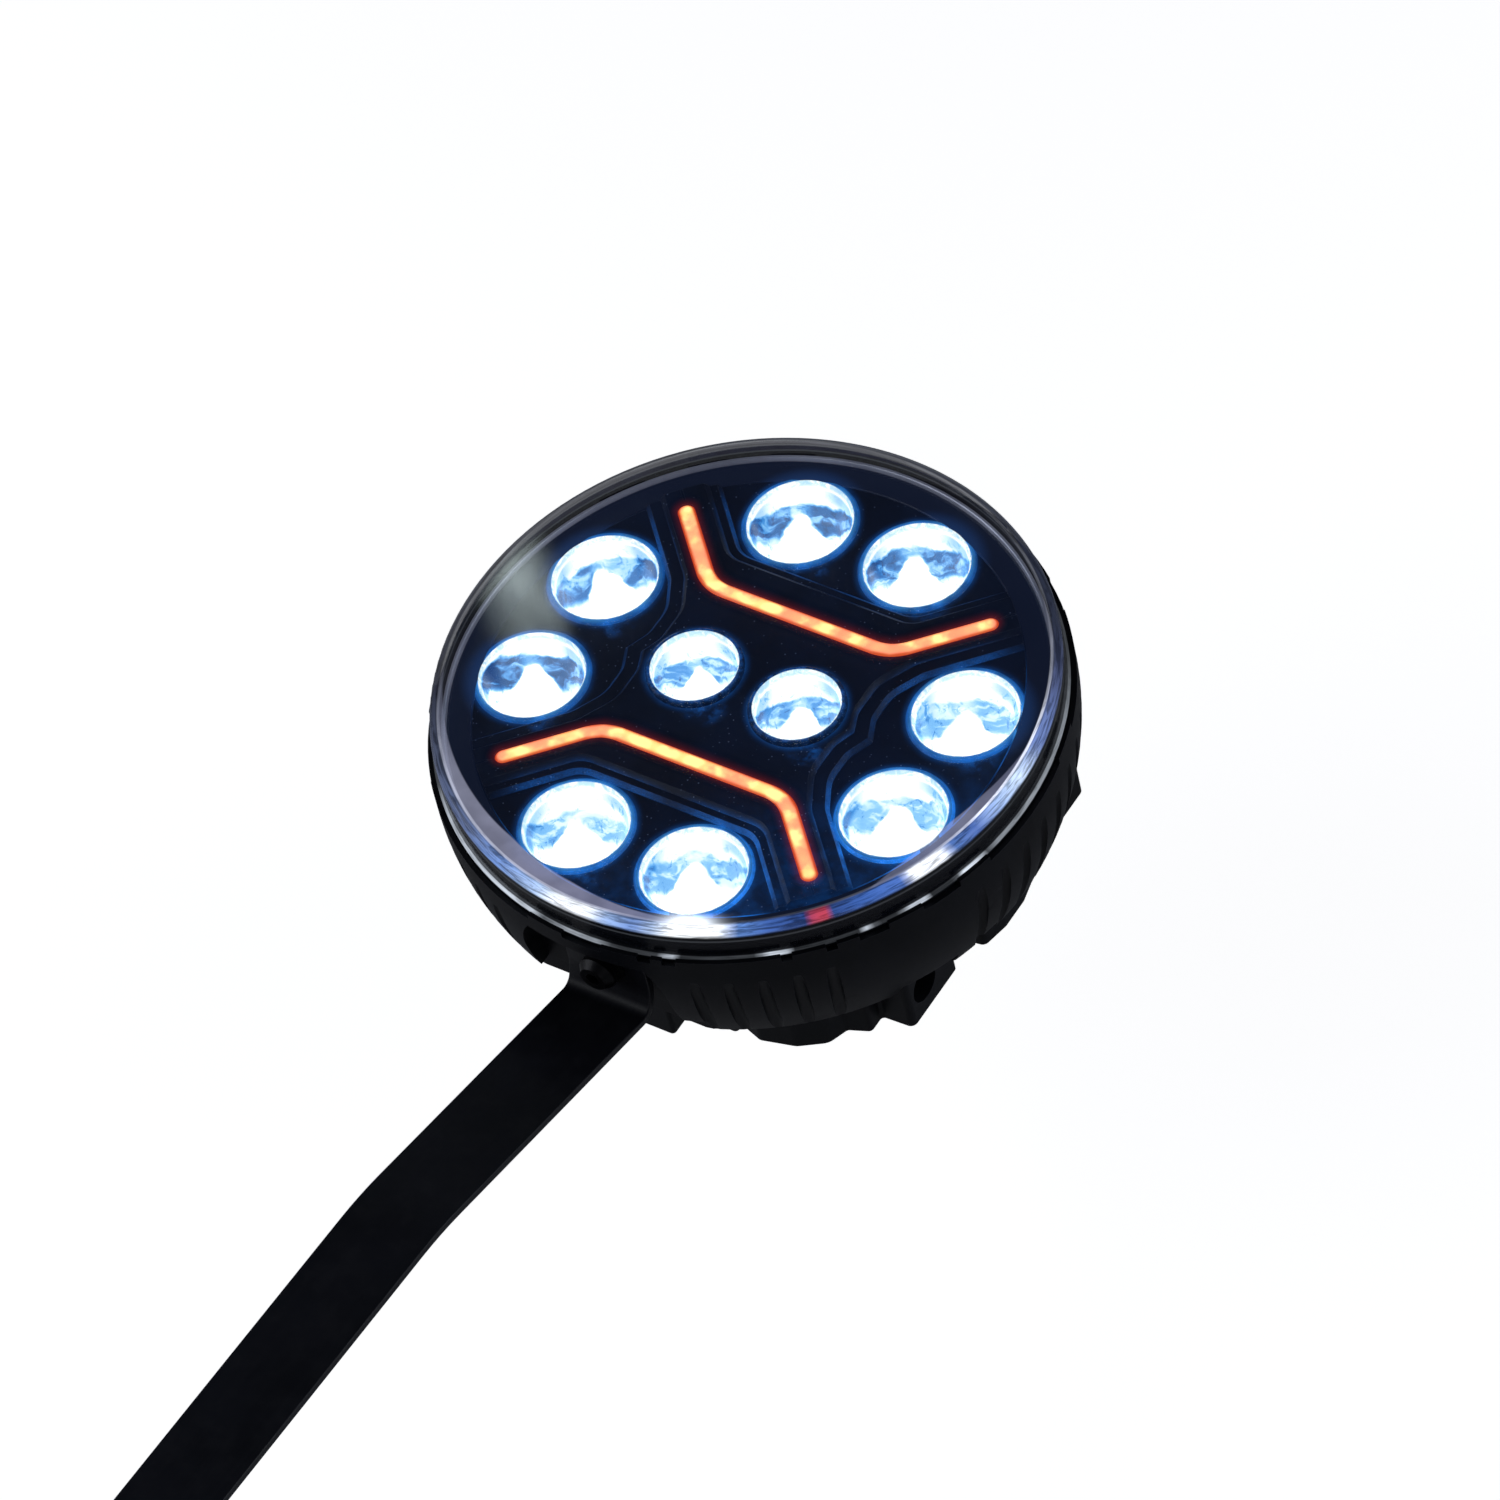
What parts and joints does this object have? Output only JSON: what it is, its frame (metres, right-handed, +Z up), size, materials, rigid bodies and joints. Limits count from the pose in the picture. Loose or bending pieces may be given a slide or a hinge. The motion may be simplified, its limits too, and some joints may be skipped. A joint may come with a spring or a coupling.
{
  "type": "led safety flare",
  "caption": "Round black LED safety lamp with bright reflector cups, amber light bars and a clear cover, tilting on a long flat steel arm.",
  "frame": {"origin": "middle of the two bolt holes in the arm foot, on the foot's underside", "axes": "+Z up, out through the lens along the lamp's axis at rest; the arm runs along +Y from its foot to the lamp; +X to the right of the arm"},
  "size_m": [0.226, 0.587, 0.0985],
  "materials": {
    "amber_guide": "frosted amber light guide",
    "amber_led": "amber phosphor",
    "amber_wire": "yellow insulation",
    "bezel_ring": "satin bright ring",
    "black_hardware": "black oxide",
    "black_nylon": "moulded nylon",
    "bushing_steel": "turned steel",
    "cable_jacket": "smooth black jacket",
    "capacitor_can": "sleeved can",
    "chip_resin": "moulded resin",
    "collar_metal": "gloss black ring",
    "cover_screws": "stainless",
    "driver_board": "green solder mask",
    "face_plate": "semi-gloss black moulding",
    "housing": "matte black powder coat on die-cast aluminium",
    "inductor_core": "ferrite",
    "inner_screws": "zinc plated",
    "led_board": "white solder mask on aluminium core",
    "led_wire": "black insulation",
    "lens_cover": "clear polycarbonate, polished",
    "mounting_arm": "matte black powder coat on flat steel bar",
    "nylon": "natural nylon",
    "pin_metal": "tinned brass",
    "plug_insert": "red silicone",
    "rear_cover": "matte black powder coat",
    "reflector_metal": "vacuum metallised",
    "seal_rubber": "soft silicone",
    "small_board": "white solder mask",
    "supply_wire": "red insulation",
    "thermal_pad": "grey silicone pad",
    "white_led": "white LED, phosphor and dome"
  },
  "bodies": {
    "arm": {"mounting_arm": "mounting_arm"},
    "lamp_head": {"amber_board_screws": "inner_screws", "amber_led_board_lower": "small_board", "amber_led_board_upper": "small_board", "amber_leds_lower": "amber_led", "amber_leds_upper": "amber_led", "amber_light_bar_lower": "amber_guide", "amber_light_bar_upper": "amber_guide", "amber_wires": "amber_wire", "bezel_ring": "bezel_ring", "breather_vent": "black_nylon", "cable_gland_body": "black_nylon", "cable_gland_nut": "black_nylon", "cable_gland_seal": "seal_rubber", "driver_board": "driver_board", "driver_capacitors": "capacitor_can", "driver_chips": "chip_resin", "driver_inductor": "inductor_core", "driver_screws": "inner_screws", "face_plate": "face_plate", "face_plate_screws": "inner_screws", "housing": "housing", "inner_collar_1": "collar_metal", "inner_collar_2": "collar_metal", "inner_leds": "white_led", "inner_reflector_1": "reflector_metal", "inner_reflector_2": "reflector_metal", "led_board": "led_board", "led_board_screws": "inner_screws", "led_wires": "led_wire", "lens_cover": "lens_cover", "lens_gasket": "seal_rubber", "outer_leds": "white_led", "outer_reflector_1": "reflector_metal", "outer_reflector_2": "reflector_metal", "outer_reflector_3": "reflector_metal", "outer_reflector_4": "reflector_metal", "outer_reflector_5": "reflector_metal", "outer_reflector_6": "reflector_metal", "outer_reflector_7": "reflector_metal", "outer_reflector_8": "reflector_metal", "pivot_bolt": "black_hardware", "pivot_bushing": "bushing_steel", "pivot_friction_washer": "nylon", "pivot_spring_washer": "black_hardware", "pivot_washer": "black_hardware", "plug_insert": "plug_insert", "plug_pins": "pin_metal", "plug_shell": "black_nylon", "power_cable": "cable_jacket", "rear_cover": "rear_cover", "rear_cover_gasket": "seal_rubber", "rear_cover_screws": "cover_screws", "supply_wires": "supply_wire", "thermal_pad": "thermal_pad", "wire_grommet": "seal_rubber"}
  },
  "joints": [
    {"name": "head_tilt", "type": "hinge", "parent": "arm", "child": "lamp_head", "pos_m": [0, 0.3415, -0.022], "axis": [0, 1, 0], "range_deg": [-75, 75]}
  ]
}
